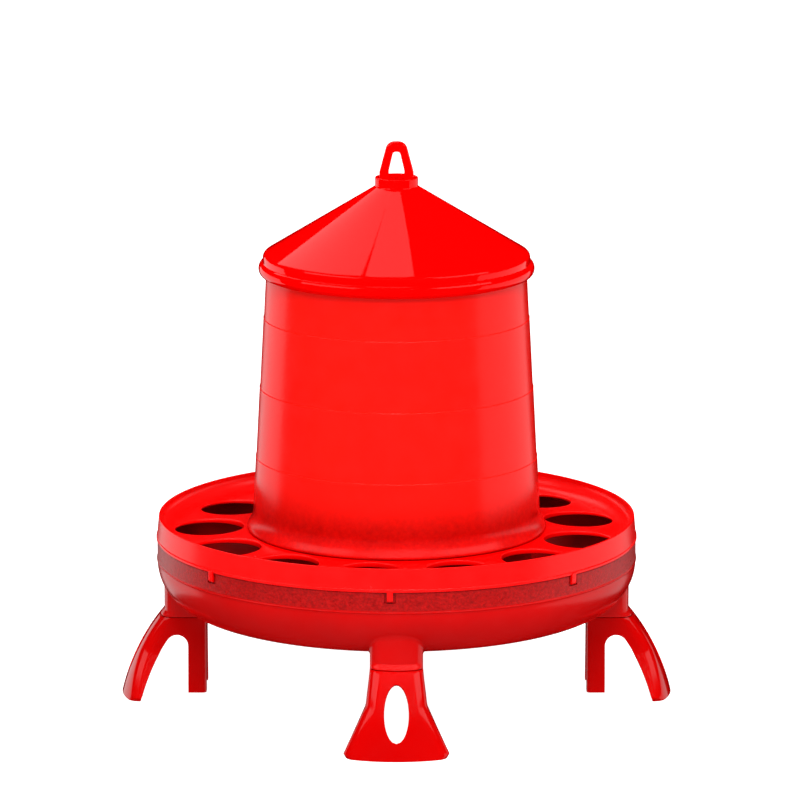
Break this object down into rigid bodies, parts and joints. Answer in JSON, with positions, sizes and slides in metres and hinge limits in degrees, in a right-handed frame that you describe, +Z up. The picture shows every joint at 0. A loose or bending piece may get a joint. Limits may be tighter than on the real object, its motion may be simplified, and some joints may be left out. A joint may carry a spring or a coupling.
{
  "type": "gravity poultry feeder",
  "caption": "Gravity feeder for poultry: round tray with a pierced feeding ring, tapered hopper, conical lid with a hanging loop, and splayed plug-in legs.",
  "frame": {"origin": "on the ground, on the feeder's upright axis", "axes": "+Z up, -Y towards the front leg, +X to the right"},
  "size_m": [0.4872, 0.4872, 0.4931],
  "materials": {
    "tray_red": "injection-moulded polypropylene, satin, with a darker grained band round the wall",
    "cone_red": "injection-moulded polypropylene, satin",
    "ring_red": "injection-moulded polypropylene, semi-gloss",
    "outlet_red": "injection-moulded polypropylene, satin",
    "hopper_red": "translucent red polypropylene, satin, with fine level lines",
    "lid_red": "glossy polypropylene",
    "loop_red": "glossy polypropylene",
    "retainer_grey": "nylon push-on washer",
    "leg_red": "injection-moulded polypropylene, semi-gloss"
  },
  "bodies": {
    "tray": {"tray": "tray_red", "feed_cone": "cone_red"},
    "ring": {"feeding_ring": "ring_red"},
    "hopper": {"hopper": "hopper_red", "feed_outlet": "outlet_red"},
    "lid": {"lid": "lid_red"},
    "loop": {"hanging_loop": "loop_red", "loop_retainer": "retainer_grey"},
    "leg_front": {"leg_front": "leg_red"},
    "leg_right": {"leg_right": "leg_red"},
    "leg_rear": {"leg_rear": "leg_red"},
    "leg_left": {"leg_left": "leg_red"}
  },
  "joints": [
    {"name": "ring_lift", "type": "slide", "parent": "tray", "child": "ring", "axis": [0, 0, 1], "range_m": [0, 0.09]},
    {"name": "hopper_lift", "type": "slide", "parent": "ring", "child": "hopper", "axis": [0, 0, 1], "range_m": [0, 0.09]},
    {"name": "lid_lift", "type": "slide", "parent": "hopper", "child": "lid", "axis": [0, 0, 1], "range_m": [0, 0.12]},
    {"name": "loop_turn", "type": "hinge", "parent": "lid", "child": "loop", "pos_m": [0, 0, 0.46], "axis": [0, 0, 1], "continuous": true},
    {"name": "leg_front_pull", "type": "slide", "parent": "tray", "child": "leg_front", "axis": [0, 0, -1], "range_m": [0, 0.04]},
    {"name": "leg_right_pull", "type": "slide", "parent": "tray", "child": "leg_right", "axis": [0, 0, -1], "range_m": [0, 0.04]},
    {"name": "leg_rear_pull", "type": "slide", "parent": "tray", "child": "leg_rear", "axis": [0, 0, -1], "range_m": [0, 0.04]},
    {"name": "leg_left_pull", "type": "slide", "parent": "tray", "child": "leg_left", "axis": [0, 0, -1], "range_m": [0, 0.04]}
  ]
}
